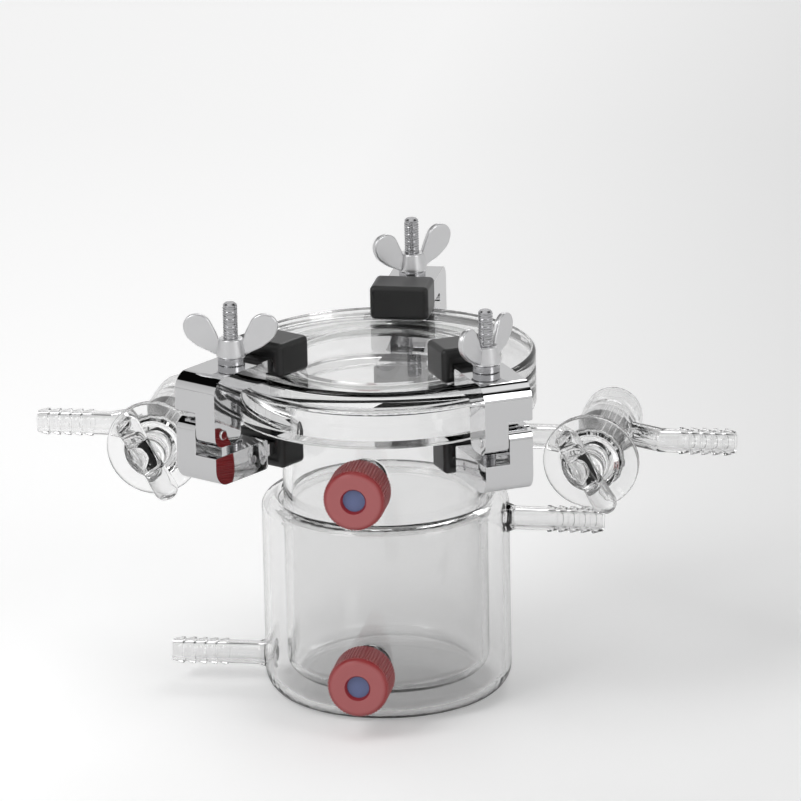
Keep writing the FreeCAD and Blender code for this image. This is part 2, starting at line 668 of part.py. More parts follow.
    # collar and wing nut on the stud
    label(turned(clamp + "_collar_ring", [
        ("stud_radius + running_clearance", "0"),
        ("collar_radius", "0", "0.4"),
        ("collar_radius", "collar_thickness", "0.4"),
        ("stud_radius + running_clearance", "collar_thickness"),
    ], z="collar_base", **around_spot("stud_distance")), clamp + "_collar")
    hub = turned(clamp + "_hub", [
        ("0", "0"),
        ("hub_radius", "0", "0.8"),
        ("hub_top_radius", "hub_height", "0.8"),
        ("0", "hub_height"),
    ])
    lobe = [
        ("8", "hub_height * 0.27", "5"),
        ("wing_span / 2", "wing_rise * 0.48", "4.5"),
        ("wing_span / 2 - 2.1", "wing_rise", "4.8"),
        ("wing_span / 2 - 10.3", "wing_rise - 1.5", "4.5"),
        ("hub_top_radius + 0.4", "hub_height * 0.87", "2"),
    ]
    mirrored = [("-(" + across + ")", up, rounding) for across, up, rounding in reversed(lobe)]
    wings = slab(clamp + "_wings", lobe + mirrored, "wing_thickness")
    nut_bore = cylinder(clamp + "_nut_bore", "stud_radius + running_clearance", "hub_height + 2", z="-1")
    nut = less(clamp + "_nut", joined(clamp + "_nut_blank", [hub, wings]), [nut_bore])
    nut_turn = FreeCAD.Rotation(Z_AXIS, number(clamp + "_nut_angle"))
    label(put(nut, z="nut_base", turn=nut_turn, **around_spot("stud_distance")), clamp + "_wing_nut")

doc.recompute()

# Nothing is written unless every feature and every piece is sound.

faults = [o.Name for o in doc.Objects if "Invalid" in o.State or "Error" in o.State]
for name, piece in pieces.items():
    shape = piece.Shape
    if shape.isNull() or not shape.isValid() or len(shape.Solids) != 1:
        faults.append(name)
if faults:
    raise RuntimeError("faulty: " + ", ".join(faults))

os.makedirs("parts", exist_ok=True)
for name, piece in pieces.items():
    piece.Shape.exportStep(f"parts/{name}.step")
    print(f"{name}: {piece.Shape.Volume / 1000:.2f} cm3")
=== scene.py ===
import math

import bmesh
import bpy
from mathutils import Matrix, Vector


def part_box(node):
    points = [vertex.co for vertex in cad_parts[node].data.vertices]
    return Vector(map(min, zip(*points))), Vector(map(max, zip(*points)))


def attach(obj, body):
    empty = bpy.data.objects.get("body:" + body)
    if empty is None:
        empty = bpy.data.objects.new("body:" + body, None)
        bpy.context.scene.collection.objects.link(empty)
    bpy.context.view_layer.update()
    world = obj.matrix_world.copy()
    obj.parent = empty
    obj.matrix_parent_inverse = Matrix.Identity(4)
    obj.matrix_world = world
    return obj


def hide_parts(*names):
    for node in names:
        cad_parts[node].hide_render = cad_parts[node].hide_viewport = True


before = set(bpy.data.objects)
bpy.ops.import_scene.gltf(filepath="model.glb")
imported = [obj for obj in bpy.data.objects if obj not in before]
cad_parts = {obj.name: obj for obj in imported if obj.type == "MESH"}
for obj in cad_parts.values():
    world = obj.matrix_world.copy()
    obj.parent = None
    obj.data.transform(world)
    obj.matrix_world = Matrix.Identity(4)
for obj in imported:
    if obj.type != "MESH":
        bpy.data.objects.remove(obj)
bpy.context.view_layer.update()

# Vessel: one piece of lampworked borosilicate glass, an inner cup fused into an outer jacket.
# Its flange is thick pressed glass, and the ports, nozzles and stopcock barrels are drawn tube,
# fused on in the flame, so every joint is a soft fillet and the walls wave a little.


def linear(code):
    """An sRGB hex colour as the linear RGBA that the shaders take."""
    channels = [int(code[i:i + 2], 16) / 255 for i in (1, 3, 5)]
    return [c / 12.92 if c <= 0.04045 else ((c + 0.055) / 1.055) ** 2.4 for c in channels] + [1.0]


def add_node(tree, kind, links=(), values=(), **settings):
    """Adds a node: settings are its own, values go in its sockets, links join other nodes to it."""
    node = tree.nodes.new(kind)
    for name, value in settings.items():
        setattr(node, name, value)
    for socket, value in dict(values).items():
        node.inputs[socket].default_value = value
    for socket, source in dict(links).items():
        tree.links.new(source, node.inputs[socket])
    return node


def new_material(name):
    material = bpy.data.materials.new(name)
    material.use_nodes = True
    material.node_tree.nodes.clear()
    return material, material.node_tree


def wavy_bump(tree, wave_mm, height_mm, strength):
    """A soft relief of a real wavelength and height, on the piece's own coordinates."""
    place = add_node(tree, "ShaderNodeTexCoord")
    noise = add_node(tree, "ShaderNodeTexNoise", {"Vector": place.outputs["Object"]},
                     {"Scale": 1000 / wave_mm, "Detail": 2.0, "Roughness": 0.4})
    bump = add_node(tree, "ShaderNodeBump", {"Height": noise.outputs["Fac"]},
                    {"Strength": strength, "Distance": height_mm / 1000})
    return bump.outputs["Normal"]


def surface(tree, shader):
    add_node(tree, "ShaderNodeOutputMaterial", {"Surface": shader.outputs[0]})


# Borosilicate 3.3, drawn and flame-worked: colourless with a faint grey in thick views, its skin
# perfectly glossy with a very shallow wave.
borosilicate, tree = new_material("blown_borosilicate_glass")
glass = add_node(tree, "ShaderNodeBsdfPrincipled", {"Normal": wavy_bump(tree, 30, 0.03, 0.08)},
                 {"Base Color": linear("#f7f7f7"), "Roughness": 0.0, "IOR": 1.474,
                  "Transmission Weight": 1.0})
surface(tree, glass)


def finish_mesh(obj, material, body, node):
    """A piece built here gets its material, rides its body and stands for its CAD node."""
    obj.data.materials.clear()
    obj.data.materials.append(material)
    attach(obj, body)
    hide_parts(node)


def new_piece(name, mesh):
    obj = bpy.data.objects.new(name, mesh)
    bpy.context.scene.collection.objects.link(obj)
    return obj


SHARP_DEG = 35  # an edge between faces at a wider angle than this stays sharp
MILLIMETRES = Matrix.Scale(0.001, 4)


def by_area(obj):
    """Lets the largest face set the shading at each corner, so that flats and walls stay true."""
    weighted = obj.modifiers.new("shading", "WEIGHTED_NORMAL")
    weighted.weight = 100
    weighted.keep_sharp = True
    return obj


SAME_POINT = 2e-6  # metres between corners of neighbouring triangles that belong together


def welded_copy(node, name, sharp_deg=SHARP_DEG):
    """A CAD node's mesh with its loose triangles welded and its curved faces shaded smooth."""
    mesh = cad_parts[node].data.copy()
    shape = bmesh.new()
    shape.from_mesh(mesh)
    bmesh.ops.remove_doubles(shape, verts=shape.verts, dist=SAME_POINT)
    shape.to_mesh(mesh)
    shape.free()
    mesh.shade_smooth()
    mesh.set_sharp_from_angle(angle=math.radians(sharp_deg))
    return by_area(new_piece(name, mesh))


def middle_of(node):
    low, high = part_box(node)
    return (low + high) / 2


# every round wall is turned about one of these lines: a point in metres and a direction
ACROSS, INWARDS, UPWARDS = Vector((1, 0, 0)), Vector((0, 1, 0)), Vector((0, 0, 1))
INLET_Z, OUTLET_Z, ARM_Y = 0.012, 0.073, 0.002
ARM_Z = round(middle_of("right_stopcock_plug").z, 4)
tube_axes = [
    (Vector(), UPWARDS),
    (Vector((0, 0, INLET_Z)), ACROSS),
    (Vector((0, 0, OUTLET_Z)), ACROSS),
]
for node in ("upper_port_cap", "lower_port_cap", "left_stopcock_plug", "right_stopcock_plug"):
    centre = middle_of(node)
    tube_axes.append((Vector((round(centre.x, 4), 0, round(centre.z, 4))), INWARDS))
tube_axes.append((Vector((0, ARM_Y, ARM_Z)), ACROSS))

# A level face's normal is at least LEVEL upright. A wall's normal has at most ALONG_WALL of its axis
# in it and at least FACES_AXIS of the spoke, and its corners' spokes differ by under SAME_REACH.
LEVEL, ALONG_WALL, FACES_AXIS, SAME_REACH = 0.9999, 0.01, 0.97, 5e-6


def true_walls(obj):
    """Shades round tube walls and level faces exactly: their long triangles only come near."""
    ready = obj.evaluated_get(bpy.context.evaluated_depsgraph_get())
    mesh = bpy.data.meshes.new_from_object(ready)
    shading = [corner.vector.copy() for corner in mesh.corner_normals]
    for face in mesh.polygons:
        corners = [mesh.vertices[v].co for v in face.vertices]
        if abs(face.normal.z) > LEVEL:
            for loop in face.loop_indices:
                shading[loop] = Vector((0, 0, math.copysign(1, face.normal.z)))
            continue
        for origin, along in tube_axes:
            if abs(face.normal.dot(along)) > ALONG_WALL:
                continue
            outward = [(c - origin) - (c - origin).dot(along) * along for c in corners]
            reaches = [spoke.length for spoke in outward]
            facing = sum(outward, Vector()).normalized().dot(face.normal)
            if max(reaches) - min(reaches) < SAME_REACH and abs(facing) > FACES_AXIS:
                for loop, spoke in zip(face.loop_indices, outward):
                    shading[loop] = spoke.normalized() * math.copysign(1, facing)
                break
    mesh.normals_split_custom_set(shading)
    name = obj.name
    bpy.data.objects.remove(obj)
    return new_piece(name, mesh)


vessel = true_walls(welded_copy("vessel", "vessel_glass"))
finish_mesh(vessel, borosilicate, "reactor", "vessel")

# Window lid: a disc of optical flat glass, ground and polished, with its edges broken round.
# It only lies on the ring seal, and the three clamps press it down at its edge.

# ground and polished flat: clearer and flatter to the eye than the blown vessel
polished, tree = new_material("polished_window_glass")
glass = add_node(tree, "ShaderNodeBsdfPrincipled", {"Normal": wavy_bump(tree, 40, 0.01, 0.1)},
                 {"Base Color": linear("#fefefe"), "Roughness": 0.0, "IOR": 1.458,
                  "Transmission Weight": 1.0})
surface(tree, glass)


def turned_piece(name, profile, segments, place, sharp_deg=SHARP_DEG, closed=False):
    """A solid turned about Z from (radius, height) points in millimetres, then placed."""
    shape = bmesh.new()
    rings = []
    for radius, height in profile:
        count = 1 if radius == 0 else segments
        rings.append([shape.verts.new((radius * math.cos(2 * math.pi * i / segments),
                                       radius * math.sin(2 * math.pi * i / segments), height))
                      for i in range(count)])
    for low, high in zip(rings, rings[1:] + rings[:1] if closed else rings[1:]):
        for i in range(segments):
            j = (i + 1) % segments
            corners = [low[i % len(low)], low[j % len(low)], high[j % len(high)], high[i % len(high)]]
            # at the axis two corners are the same one, and the face is a triangle
            shape.faces.new(list(dict.fromkeys(corners)))
    bmesh.ops.recalc_face_normals(shape, faces=shape.faces)
    shape.transform(place @ MILLIMETRES)
    mesh = bpy.data.meshes.new(name)
    shape.to_mesh(mesh)
    shape.free()
    mesh.shade_smooth()
    mesh.set_sharp_from_angle(angle=math.radians(sharp_deg))
    return by_area(new_piece(name, mesh))


HOLDING_RING = 0.02


def rounded(profile, steps=6):
    """Profile points, where a third number rounds that corner by so many millimetres."""
    out = []
    count = len(profile)
    for i, point in enumerate(profile):
        here = Vector(point[:2])
        if len(point) < 3:
            out.append((here.x, here.y))
            continue
        before = (Vector(profile[i - 1][:2]) - here).normalized()
        after = (Vector(profile[(i + 1) % count][:2]) - here).normalized()
        half = before.angle(after) / 2
        radius = point[2]
        reach = radius / math.tan(half)
        centre = here + (before + after).normalized() * (radius / math.sin(half))
        start = here + before * reach - centre
        sweep = start.angle_signed(here + after * reach - centre)
        arc = [centre + Matrix.Rotation(-sweep * k / steps, 2) @ start for k in range(steps + 1)]
        # a close ring on each side keeps the shading of the flats next to the rounding flat
        arc = [arc[0] + before * HOLDING_RING] + arc + [arc[-1] + after * HOLDING_RING]
        out.extend((spot.x, spot.y) for spot in arc)
    return out


low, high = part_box("lid")
LID_LOW, LID_TOP, LID_RADIUS = low.z * 1000, high.z * 1000, (high.x - low.x) * 500
LOWER_EDGE, UPPER_EDGE = 1.2, 1.8
FINE_RING = 192  # faces round a large ring
lid = turned_piece("window_lid", rounded([
    (0, LID_LOW), (LID_RADIUS, LID_LOW, LOWER_EDGE), (LID_RADIUS, LID_TOP, UPPER_EDGE), (0, LID_TOP),
]), FINE_RING, Matrix.Identity(4))
finish_mesh(lid, polished, "reactor", "lid")

# Ring seal: a clear silicone cord ring, moulded, soft and slightly cloudy.
# It lies in the flange's groove and is squeezed by the lid.

# moulded silicone: clear with a soft gloss, and slightly milky against the glass
silicone, tree = new_material("clear_silicone_rubber")
rubber = add_node(tree, "ShaderNodeBsdfPrincipled", {"Normal": wavy_bump(tree, 6, 0.02, 0.3)},
                  {"Base Color": linear("#eef0ee"), "Roughness": 0.12, "IOR": 1.41,
                   "Transmission Weight": 0.92})
surface(tree, rubber)
low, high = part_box("flange_seal")
SEAL_INSET = 0.01  # how far the cord's skin stays inside its CAD solid
CORD_RADIUS = (high.z - low.z) * 500 - SEAL_INSET
SEAL_RADIUS = (high.x - low.x) * 500 - CORD_RADIUS - SEAL_INSET
CORD_SIDES, ALL_SMOOTH = 24, 180
seal_middle = middle_of("flange_seal").z * 1000
seal = turned_piece("flange_ring_seal", [
    (SEAL_RADIUS + CORD_RADIUS * math.cos(a), seal_middle + CORD_RADIUS * math.sin(a))
    for a in (2 * math.pi * i / CORD_SIDES for i in range(CORD_SIDES))
], FINE_RING, Matrix.Identity(4), ALL_SMOOTH, closed=True)
finish_mesh(seal, silicone, "reactor", "flange_seal")

# Stopcock plugs: hollow glass tapers, ground to fit the barrels, each with a fused bar grip.
# A slanted way through the plug joins the arm to the hose branch.

for side in ("left", "right"):
    plug = welded_copy(f"{side}_stopcock_plug", f"{side}_plug_glass")
    finish_mesh(plug, borosilicate, f"{side}_plug", f"{side}_stopcock_plug")

# Port caps: injection-moulded red polybutylene screw caps with fine grip ribs and a hole on top.
# The plastic is satin with a faint moulding texture, and its face has a painted sheen that makes it paler
# than its ribbed sides.

# injection-moulded PBT: satin and deep red, with a painted sheen that makes the face towards the viewer
# pale
red_plastic, tree = new_material("moulded_red_pbt")
place = add_node(tree, "ShaderNodeTexCoord")
# flow marks of the moulding, about 5 mm across
marks = add_node(tree, "ShaderNodeTexNoise", {"Vector": place.outputs["Object"]},
                 {"Scale": 200.0, "Detail": 4.0})
deep = add_node(tree, "ShaderNodeMix", {"Factor": marks.outputs["Fac"]},
                {6: linear("#8e2226"), 7: linear("#98292c")}, data_type="RGBA")
# painted sheen: the face that looks at the viewer is painted dull and pale as if it caught the light,
# while the ribbed sides stay deep red
facing = add_node(tree, "ShaderNodeSeparateXYZ", {"Vector": place.outputs["Normal"]})
painted_sheen = add_node(tree, "ShaderNodeMapRange", {"Value": facing.outputs["Y"]},
                  {"From Min": -0.7, "From Max": -0.98, "To Min": 0.0, "To Max": 1.0})
# the painted sheen's pale red, laid on the face towards the viewer
tone = add_node(tree, "ShaderNodeMix", {"Factor": painted_sheen.outputs[0], 6: deep.outputs[2]},
                {7: linear("#aa5c5d")}, data_type="RGBA")
# spark-eroded mould texture, drawn at 0.4 mm so that it shows
grain = add_node(tree, "ShaderNodeTexNoise", {"Vector": place.outputs["Object"]},
                 {"Scale": 2500.0, "Detail": 2.0})
relief = add_node(tree, "ShaderNodeBump", {"Height": grain.outputs["Fac"]},
                  {"Strength": 0.15, "Distance": 0.00005})
plastic = add_node(tree, "ShaderNodeBsdfPrincipled",
                   {"Base Color": tone.outputs[2], "Normal": relief.outputs["Normal"]},
                   {"Roughness": 0.38, "IOR": 1.55})
surface(tree, plastic)


def tree_output(tree, geometry, material):
    """Ends a geometry tree: instances made real, shaded smooth, with the material set."""
    real = add_node(tree, "GeometryNodeRealizeInstances", {"Geometry": geometry})
    smooth = add_node(tree, "GeometryNodeSetShadeSmooth", {"Geometry": real.outputs[0]})
    painted = add_node(tree, "GeometryNodeSetMaterial", {"Geometry": smooth.outputs[0]},
                       {"Material": material})
    add_node(tree, "NodeGroupOutput", {0: painted.outputs[0]})


def new_tree(name, *sizes):
    tree = bpy.data.node_groups.new(name, "GeometryNodeTree")
    tree.interface.new_socket("Geometry", in_out="OUTPUT", socket_type="NodeSocketGeometry")
    for size in sizes:
        kind = "NodeSocketInt" if size == "Count" else "NodeSocketFloat"
        tree.interface.new_socket(size, in_out="INPUT", socket_type=kind)
    return tree, add_node(tree, "NodeGroupInput")


def grown(name, tree, place, **sizes):
    """The tree's result as a plain mesh object, with its sizes in metres."""
    carrier = new_piece(name + "_carrier", bpy.data.meshes.new(name + "_carrier"))
    modifier = carrier.modifiers.new("tree", "NODES")
    modifier.node_group = tree
    for socket in tree.interface.items_tree:
        if socket.in_out == "INPUT":
            modifier[socket.identifier] = sizes[socket.name]
    ready = carrier.evaluated_get(bpy.context.evaluated_depsgraph_get())
    mesh = bpy.data.meshes.new_from_object(ready)
    mesh.transform(place)
    bpy.data.objects.remove(carrier)
    return new_piece(name, mesh)


def joined(name, *objs):
    """Several pieces as one."""
    shape = bmesh.new()
    for obj in objs:
        shape.from_mesh(obj.data)
    mesh = bpy.data.meshes.new(name)
    shape.to_mesh(mesh)
    shape.free()
    for obj in objs:
        bpy.data.objects.remove(obj)
    mesh.shade_smooth()
    mesh.set_sharp_from_angle(angle=math.radians(SHARP_DEG))
    return by_area(new_piece(name, mesh))


ribs, sizes = new_tree("grip_ribs", "Count", "Ring Radius", "Rib Radius", "Length")
ring = add_node(ribs, "GeometryNodeCurvePrimitiveCircle",
                {"Resolution": sizes.outputs["Count"], "Radius": sizes.outputs["Ring Radius"]})
rib = add_node(ribs, "GeometryNodeMeshCylinder",
               {"Radius": sizes.outputs["Rib Radius"], "Depth": sizes.outputs["Length"]},
               {"Vertices": 12})
around = add_node(ribs, "GeometryNodeInstanceOnPoints",
                  {"Points": ring.outputs[0], "Instance": rib.outputs[0]})
tree_output(ribs, around.outputs[0], red_plastic)

TOWARDS_VIEWER = Matrix.Rotation(math.radians(90), 4, "X")
# radii of the cap, its bore, the hole in its face and one rib, then the face's thickness
CAP_RADIUS, CAP_BORE, APERTURE, RIB, FACE = 12.5, 9.2, 4.5, 0.45, 2.0
BACK_ROUNDING, FRONT_ROUNDING = 0.4, 2.2
FUNNEL_WIDTH, FUNNEL_DEPTH, FUNNEL_ROUNDING = 0.7, 1.2, 0.2
RIB_COUNT, RIB_SINK = 60, 0.1
SHELL = CAP_RADIUS - RIB
CAP_RING = 144
for port in ("upper", "lower"):
    low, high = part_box(f"{port}_port_cap")
    back, front = -high.y * 1000, -low.y * 1000
    place = Matrix.Translation((0, 0, middle_of(f"{port}_port_cap").z)) @ TOWARDS_VIEWER
    body = turned_piece(f"{port}_cap_body", rounded([
        (CAP_BORE, back), (SHELL, back, BACK_ROUNDING), (SHELL, front, FRONT_ROUNDING),
        (APERTURE + FUNNEL_WIDTH, front, FUNNEL_ROUNDING), (APERTURE, front - FUNNEL_DEPTH),
        (APERTURE, front - FACE), (CAP_BORE, front - FACE),
    ]), CAP_RING, place, closed=True)
    # the ribs run from the back's rounding until they are level with the inside of the face
    rib_length = (front - back - BACK_ROUNDING - FACE) / 1000
    halfway = Matrix.Translation((0, 0, (back + BACK_ROUNDING) / 1000 + rib_length / 2))
    grips = grown(f"{port}_cap_ribs", ribs, place @ halfway,
                  **{"Count": RIB_COUNT, "Ring Radius": (SHELL - RIB_SINK) / 1000,
                     "Rib Radius": RIB / 1000, "Length": rib_length})
    cap = joined(f"{port}_screw_cap", body, grips)
    finish_mesh(cap, red_plastic, f"{port}_cap", f"{port}_port_cap")

# Port septa: discs cut from blue silicone sheet, pressed on the port's rim by the cap.
# Only the middle shows through the cap's hole, matt and a little uneven.

# calendered silicone sheet: matt, with a fine pebbled skin
blue_silicone, tree = new_material("blue_silicone_sheet")
rubber = add_node(tree, "ShaderNodeBsdfPrincipled", {"Normal": wavy_bump(tree, 1.2, 0.03, 0.4)},
                  {"Base Color": linear("#68739a"), "Roughness": 0.55, "IOR": 1.43})
surface(tree, rubber)


def dress(node, material):
    """Gives a CAD node its material."""
    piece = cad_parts[node]
    piece.data.materials.clear()
    piece.data.materials.append(material)


for port in ("upper", "lower"):
    dress(f"{port}_port_septum", blue_silicone)

# Clamp jaws: chromium-plated brass castings, polished before plating, so they mirror the room.
# The two halves of a clamp meet at a hinge on the outside and reach inwards with a finger each.

# bright chromium over polished brass: a clean mirror that shows the room in hard bands
chrome, tree = new_material("chromium_plated_brass")
metal = add_node(tree, "ShaderNodeBsdfPrincipled", {"Normal": wavy_bump(tree, 9, 0.02, 0.12)},
                 {"Base Color": linear("#d9d9da"), "Metallic": 1.0, "Roughness": 0.035})
surface(tree, metal)


JAW_EDGE, JAW_SHARP_DEG, FLAT_DEG = 0.35, 30, 0.5


def softened_copy(node, name, width_mm):
    """A welded copy whose flat faces are made whole and whose sharp edges are rounded a little."""
    obj = welded_copy(node, name, JAW_SHARP_DEG)
    shape = bmesh.new()
    shape.from_mesh(obj.data)
    bmesh.ops.dissolve_limit(shape, angle_limit=math.radians(FLAT_DEG), verts=shape.verts,
                             edges=shape.edges)
    shape.to_mesh(obj.data)
    shape.free()
    bevel = obj.modifiers.new("edges", "BEVEL")
    bevel.width = width_mm / 1000
    bevel.segments = 3
    bevel.limit_method = "ANGLE"
    bevel.angle_limit = math.radians(SHARP_DEG)
    bevel.harden_normals = True
    obj.modifiers.move(obj.modifiers.find("edges"), 0)
    return obj


CLAMPS = ("back", "left", "right")
for clamp in CLAMPS:
    for jaw in ("lower", "upper"):
        piece = softened_copy(f"{clamp}_{jaw}_jaw", f"{clamp}_{jaw}_jaw_cast", JAW_EDGE)
        finish_mesh(piece, chrome, "reactor", f"{clamp}_{jaw}_jaw")
    dress(f"{clamp}_hinge_pin", chrome)

# Studs: M6 steel rods with a rolled thread, held in the lower jaw by a cross pin.
# The thread is bright zinc, and its narrow roots look dark between the crests.

# electroplated zinc on rolled steel: bright but softer than chromium, with a cloudy bloom
zinc, tree = new_material("zinc_plated_steel")
place = add_node(tree, "ShaderNodeTexCoord")
# crystal bloom of the plating, about 3 mm across
bloom = add_node(tree, "ShaderNodeTexNoise", {"Vector": place.outputs["Object"]},
                 {"Scale": 330.0, "Detail": 5.0})
shine = add_node(tree, "ShaderNodeMapRange", {"Value": bloom.outputs["Fac"]},
                 {"To Min": 0.18, "To Max": 0.32})
metal = add_node(tree, "ShaderNodeBsdfPrincipled", {"Roughness": shine.outputs[0]},
                 {"Base Color": linear("#b9b9bb"), "Metallic": 1.0})
surface(tree, metal)

thread, sizes = new_tree("rolled_thread", "Length", "Radius", "Pitch", "Depth")
turns = add_node(thread, "ShaderNodeMath", {0: sizes.outputs["Length"], 1: sizes.outputs["Pitch"]},
                 operation="DIVIDE")
middle = add_node(thread, "ShaderNodeMath", {0: sizes.outputs["Radius"], 1: sizes.outputs["Depth"]},
                  operation="SUBTRACT")
helix = add_node(thread, "GeometryNodeCurveSpiral",
                 {"Rotations": turns.outputs[0], "Start Radius": middle.outputs[0],
                  "End Radius": middle.outputs[0], "Height": sizes.outputs["Length"]},
                 {"Resolution": 24})
crest = add_node(thread, "GeometryNodeCurvePrimitiveCircle", {"Radius": sizes.outputs["Depth"]},
                 {"Resolution": 6})
ridge = add_node(thread, "GeometryNodeCurveToMesh",
                 {"Curve": helix.outputs[0], "Profile Curve": crest.outputs[0]}, {"Fill Caps": True})
tree_output(thread, ridge.outputs[0], zinc)

STUD_RADIUS, STUD_PITCH, THREAD_DEPTH, ROOT_DEPTH = 3.0, 1.0, 0.18, 0.24
# lengths along the stud: the foot without thread, its run-out, the tip's cone, the thread's end
PLAIN_FOOT, RUN_OUT, TIP, THREAD_END = 8.0, 0.3, 0.7, 1.2
FOOT_BEVEL, TIP_BEVEL = 0.4, 0.9
ROOT = STUD_RADIUS - ROOT_DEPTH
STUD_RING = 32
for clamp in CLAMPS:
    low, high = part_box(f"{clamp}_stud")
    axis = middle_of(f"{clamp}_stud")
    place = Matrix.Translation((axis.x, axis.y, low.z))
    length = (high.z - low.z) * 1000
    core = turned_piece(f"{clamp}_stud_core", [
        (0, 0), (STUD_RADIUS - FOOT_BEVEL, 0), (STUD_RADIUS, FOOT_BEVEL), (STUD_RADIUS, PLAIN_FOOT),
        (ROOT, PLAIN_FOOT + RUN_OUT), (ROOT, length - TIP), (STUD_RADIUS - TIP_BEVEL, length), (0, length),
    ], STUD_RING, place)
    ridge = grown(f"{clamp}_stud_ridge", thread, place @ Matrix.Translation((0, 0, PLAIN_FOOT / 1000)),
                  **{"Length": (length - PLAIN_FOOT - THREAD_END) / 1000, "Radius": STUD_RADIUS / 1000,
                     "Pitch": STUD_PITCH / 1000, "Depth": THREAD_DEPTH / 1000})
    stud = joined(f"{clamp}_threaded_stud", core, ridge)
    finish_mesh(stud, zinc, "reactor", f"{clamp}_stud")
    dress(f"{clamp}_stud_pin", zinc)
    dress(f"{clamp}_collar", zinc)

# Wing nuts: tumbled zinc castings with two rounded wings that stand up from a tapered hub.
# They are pale, even and almost matt, and each one stopped at its own angle when it was tightened.

# die-cast zinc, tumbled: pale grey with a broad even sheen and no mirror
cast_zinc, tree = new_material("tumbled_zinc_casting")
place = add_node(tree, "ShaderNodeTexCoord")
# tumbling marks, about 1.5 mm across
marks = add_node(tree, "ShaderNodeTexNoise", {"Vector": place.outputs["Object"]},
                 {"Scale": 660.0, "Detail": 4.0})
shine = add_node(tree, "ShaderNodeMapRange", {"Value": marks.outputs["Fac"]},
                 {"To Min": 0.3, "To Max": 0.36})
relief = add_node(tree, "ShaderNodeBump", {"Height": marks.outputs["Fac"]},
                  {"Strength": 0.03, "Distance": 0.0001})
metal = add_node(tree, "ShaderNodeBsdfPrincipled",
                 {"Roughness": shine.outputs[0], "Normal": relief.outputs["Normal"]},
                 {"Base Color": linear("#dededf"), "Metallic": 1.0})
surface(tree, metal)

# one wing's outline from the hub out, round the lobe and back, in millimetres
WING = [(3.6, 1.4), (8.6, 2.3), (14.4, 5.2), (18.2, 9.8), (18.2, 14.6), (14.6, 17.2), (9.8, 16.2),
        (7.0, 12.2), (5.0, 7.2)]
WING_MIDDLE = Vector((11.5, 9.5))
WING_THICKNESS, WING_RIM, WING_WELD = 2.4, 0.7, 0.001
NUT_BORE, HUB_FOOT, HUB_STEP, HUB_TOP = 3.05, 6.0, 5.9, 4.8
STEP_HEIGHT, HUB_HEIGHT, HUB_ROUNDING, HUB_RING = 1.4, 7.5, 0.6, 48
# degrees about the stud, as the photograph shows each nut
NUT_TURN = {"back": 44, "left": 6, "right": 67}


def wing_mesh(name, flip):
    """A flat wing with a rounded rim, as a curve turned into a mesh in the XZ plane."""
    line = bpy.data.curves.new(name, "CURVE")
    line.dimensions = "2D"
    line.fill_mode = "BOTH"
    line.extrude = WING_THICKNESS / 2 - WING_RIM
    line.bevel_depth = WING_RIM
    line.bevel_resolution = 3
    line.resolution_u = 8
    spline = line.splines.new("BEZIER")
    spline.bezier_points.add(len(WING) - 1)
    spline.use_cyclic_u = True
    for point, corner in zip(spline.bezier_points, WING):
        inset = Vector(corner) + (WING_MIDDLE - Vector(corner)).normalized() * WING_RIM
        point.co = (inset.x * flip, inset.y, 0)
        point.handle_left_type = point.handle_right_type = "AUTO"
    holder = bpy.data.objects.new(name, line)
    bpy.context.scene.collection.objects.link(holder)
    ready = holder.evaluated_get(bpy.context.evaluated_depsgraph_get())
    mesh = bpy.data.meshes.new_from_object(ready)
    bpy.data.objects.remove(holder)
    shape = bmesh.new()
    shape.from_mesh(mesh)
    bmesh.ops.remove_doubles(shape, verts=shape.verts, dist=WING_WELD)
    shape.transform(TOWARDS_VIEWER)
    bmesh.ops.recalc_face_normals(shape, faces=shape.faces)
    shape.to_mesh(mesh)
    shape.free()
    return mesh


for clamp in CLAMPS:
    axis = middle_of(f"{clamp}_stud")
    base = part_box(f"{clamp}_wing_nut")[0].z
    spin = Matrix.Rotation(math.radians(NUT_TURN[clamp]), 4, "Z")
    place = Matrix.Translation((axis.x, axis.y, base)) @ spin
    hub = turned_piece(f"{clamp}_nut_hub", rounded([
        (NUT_BORE, 0), (HUB_FOOT, 0, HUB_ROUNDING), (HUB_STEP, STEP_HEIGHT, HUB_ROUNDING),
        (HUB_TOP, HUB_HEIGHT, HUB_ROUNDING), (NUT_BORE, HUB_HEIGHT),
    ]), HUB_RING, place, closed=True)
    wings = []
    for flip in (1, -1):
        mesh = wing_mesh(f"{clamp}_wing", flip)
        mesh.transform(place @ MILLIMETRES)
        wings.append(new_piece(f"{clamp}_wing_{flip}", mesh))
    nut = joined(f"{clamp}_wing_nut_cast", hub, *wings)
    finish_mesh(nut, cast_zinc, f"{clamp}_nut", f"{clamp}_wing_nut")

# Clamp shoes: black nitrile rubber blocks, moulded with rounded edges, pushed on the fingers.
# They keep the metal off the glass, and their skin is satin with a faint bloom.

# compression-moulded nitrile: near black, satin, greyer where it faces the light
nitrile, tree = new_material("moulded_nitrile_rubber")
place = add_node(tree, "ShaderNodeTexCoord")
# bloom patches, about 8 mm across
bloom = add_node(tree, "ShaderNodeTexNoise", {"Vector": place.outputs["Object"]},
                 {"Scale": 125.0, "Detail": 3.0})
tone = add_node(tree, "ShaderNodeMix", {"Factor": bloom.outputs["Fac"]},
                {6: linear("#1c1c1c"), 7: linear("#262626")}, data_type="RGBA")
# grain of the mould, half a millimetre across
grain = add_node(tree, "ShaderNodeTexNoise", {"Vector": place.outputs["Object"]},
                 {"Scale": 2000.0, "Detail": 2.0})
relief = add_node(tree, "ShaderNodeBump", {"Height": grain.outputs["Fac"]},
                  {"Strength": 0.2, "Distance": 0.00005})
rubber = add_node(tree, "ShaderNodeBsdfPrincipled",
                  {"Base Color": tone.outputs[2], "Normal": relief.outputs["Normal"]},
                  {"Roughness": 0.34, "IOR": 1.44})
surface(tree, rubber)

